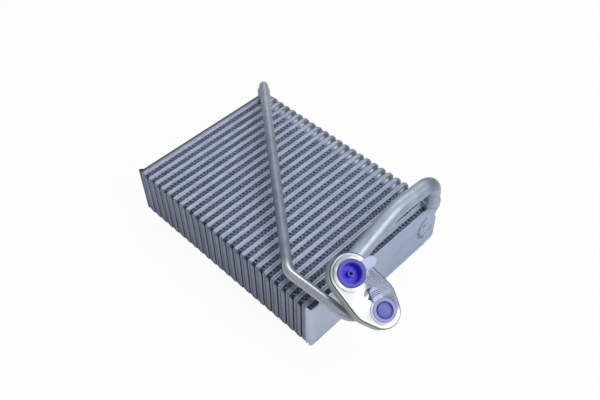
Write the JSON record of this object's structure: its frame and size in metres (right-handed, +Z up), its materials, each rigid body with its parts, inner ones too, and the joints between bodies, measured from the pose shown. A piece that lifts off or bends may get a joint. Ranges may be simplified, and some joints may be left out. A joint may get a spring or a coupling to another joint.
{
  "type": "evaporator core",
  "caption": "Brazed aluminium evaporator core of flat drawn-cup tubes and corrugated fins, with suction and liquid pipes that end in a shared port flange closed by push-in plugs",
  "frame": {"origin": "centre of the bounding box in X and Y, on the plane that the core lies on", "axes": "+X along the stack of tubes toward the end with the suction pipe and the port flange, +Y from the turn ends of the tubes toward the tanks, +Z up from the broad face that the core lies on"},
  "size_m": [0.345, 0.201, 0.1246],
  "materials": {
    "tube_aluminium": "satin, lightly stained by brazing flux",
    "fin_aluminium": "satin",
    "plate_aluminium": "satin rolled sheet",
    "pipe_aluminium": "drawn tube, satin with a soft sheen",
    "flange_aluminium": "machined face, satin sides",
    "blue_plastic": "glossy moulded",
    "lavender_plastic": "glossy moulded, slightly translucent"
  },
  "bodies": {
    "root": {"tube_01": "tube_aluminium", "tube_02": "tube_aluminium", "tube_03": "tube_aluminium", "tube_04": "tube_aluminium", "tube_05": "tube_aluminium", "tube_06": "tube_aluminium", "tube_07": "tube_aluminium", "tube_08": "tube_aluminium", "tube_09": "tube_aluminium", "tube_10": "tube_aluminium", "tube_11": "tube_aluminium", "tube_12": "tube_aluminium", "tube_13": "tube_aluminium", "tube_14": "tube_aluminium", "tube_15": "tube_aluminium", "tube_16": "tube_aluminium", "tube_17": "tube_aluminium", "tube_18": "tube_aluminium", "tube_19": "tube_aluminium", "tube_20": "tube_aluminium", "tube_21": "tube_aluminium", "tube_22": "tube_aluminium", "tube_23": "tube_aluminium", "tube_24": "tube_aluminium", "fin_01": "fin_aluminium", "fin_02": "fin_aluminium", "fin_03": "fin_aluminium", "fin_04": "fin_aluminium", "fin_05": "fin_aluminium", "fin_06": "fin_aluminium", "fin_07": "fin_aluminium", "fin_08": "fin_aluminium", "fin_09": "fin_aluminium", "fin_10": "fin_aluminium", "fin_11": "fin_aluminium", "fin_12": "fin_aluminium", "fin_13": "fin_aluminium", "fin_14": "fin_aluminium", "fin_15": "fin_aluminium", "fin_16": "fin_aluminium", "fin_17": "fin_aluminium", "fin_18": "fin_aluminium", "fin_19": "fin_aluminium", "fin_20": "fin_aluminium", "fin_21": "fin_aluminium", "fin_22": "fin_aluminium", "fin_23": "fin_aluminium", "fin_24": "fin_aluminium", "left_side_plate": "plate_aluminium", "right_side_plate": "plate_aluminium", "suction_connector": "pipe_aluminium", "liquid_connector": "pipe_aluminium", "suction_pipe": "pipe_aluminium", "liquid_pipe": "pipe_aluminium", "port_flange": "flange_aluminium", "large_port_plug": "blue_plastic", "small_port_plug": "lavender_plastic"}
  },
  "joints": []
}
